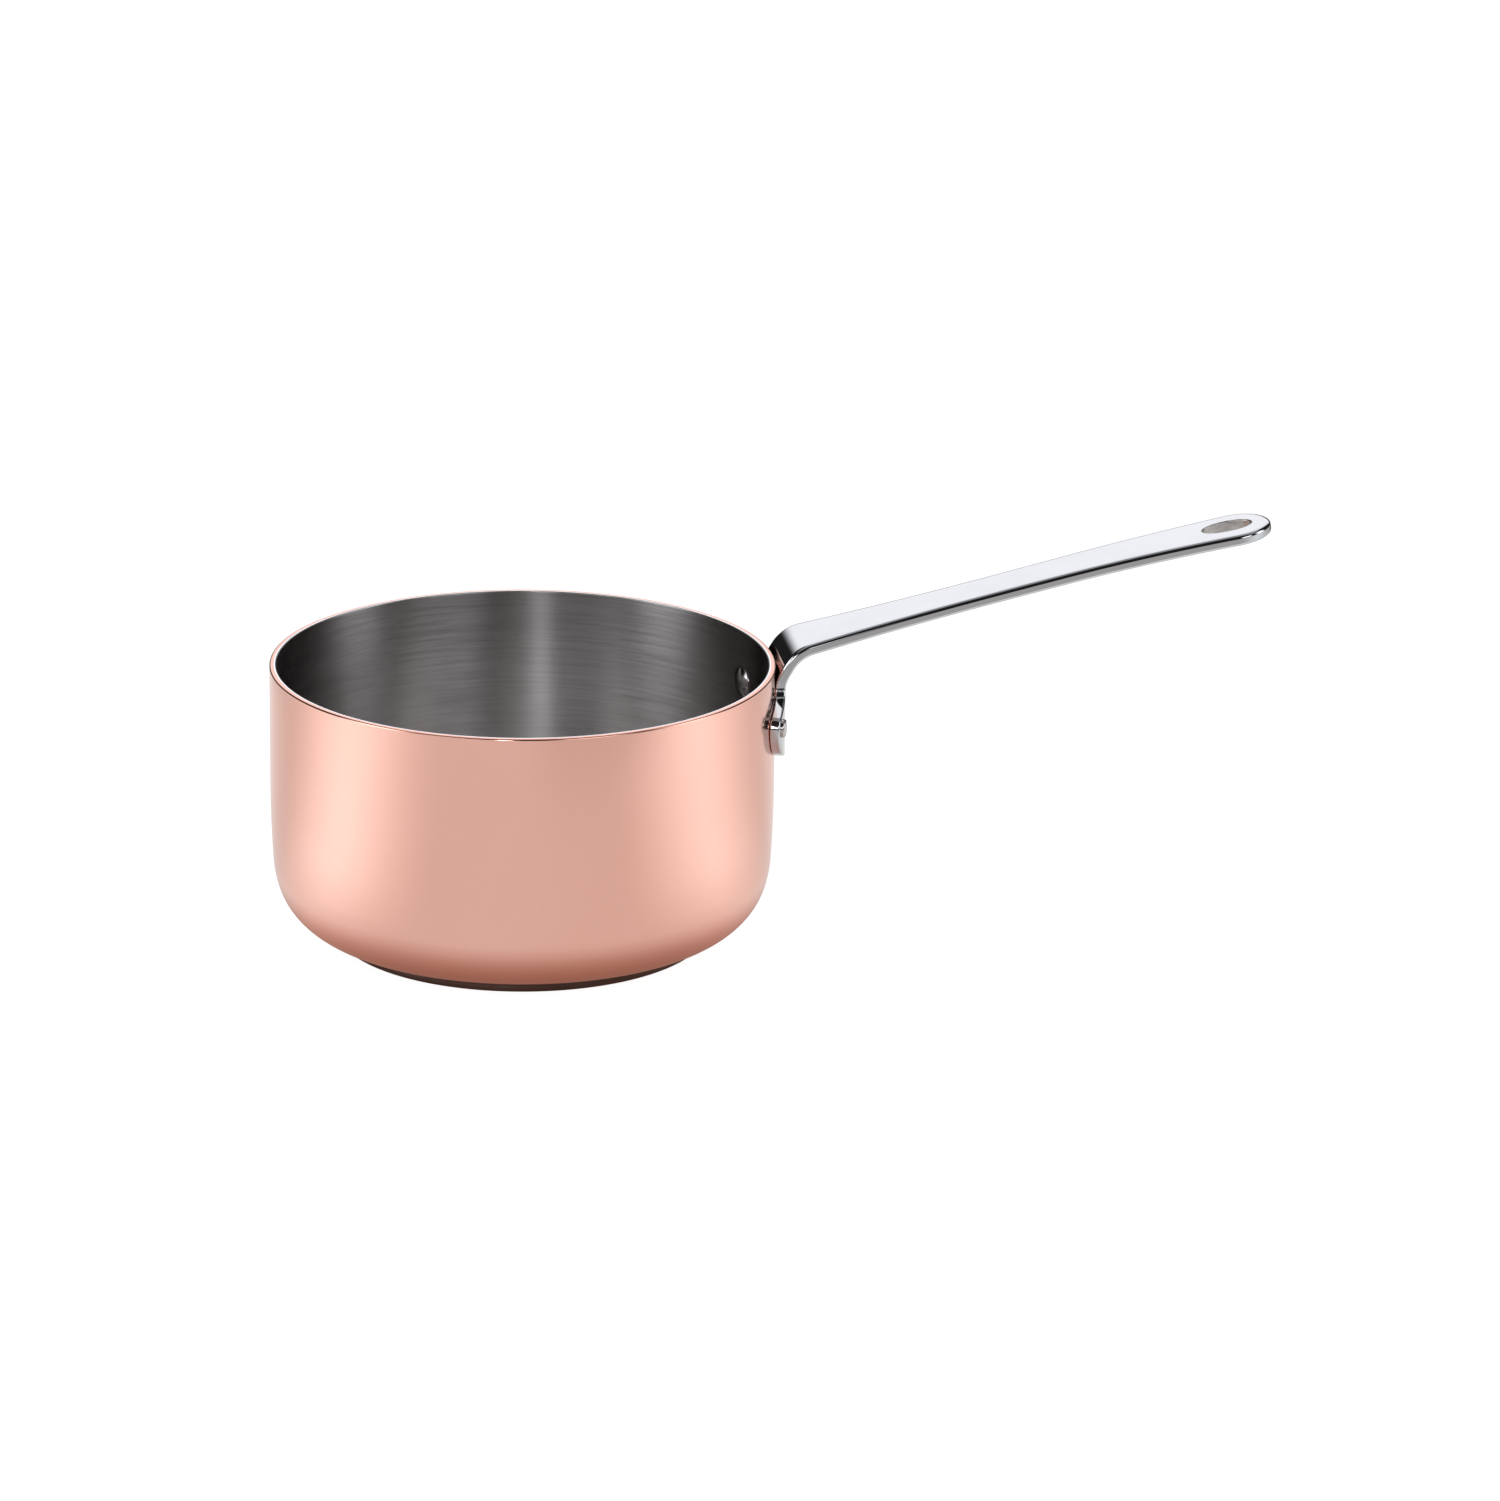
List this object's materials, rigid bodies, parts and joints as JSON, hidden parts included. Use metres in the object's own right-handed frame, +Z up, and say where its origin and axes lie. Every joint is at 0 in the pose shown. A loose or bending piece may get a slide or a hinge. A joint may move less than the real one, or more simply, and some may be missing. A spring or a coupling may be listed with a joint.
{
  "type": "saucepan",
  "caption": "Round three-ply copper saucepan with a steel interior, an induction base and a long riveted strap handle with a hanging hole.",
  "frame": {"origin": "centre of the base's underside, on the worktop", "axes": "+Z up along the pot's axis, +X along the handle, +Y to the left of the handle seen from the pot"},
  "size_m": [0.3604, 0.18, 0.146],
  "materials": {
    "copper": "satin-polished copper",
    "aluminium": "plain rolled aluminium",
    "brushed_steel": "brushed round the pot",
    "base_steel": "turned magnetic steel",
    "polished_steel": "mirror-polished stainless steel",
    "rivet_steel": "polished, slightly soft"
  },
  "bodies": {
    "root": {"copper_shell": "copper", "aluminium_core": "aluminium", "steel_liner": "brushed_steel", "base_core": "aluminium", "base_cap": "base_steel", "handle": "polished_steel", "rivet_left": "rivet_steel", "rivet_right": "rivet_steel"}
  },
  "joints": []
}
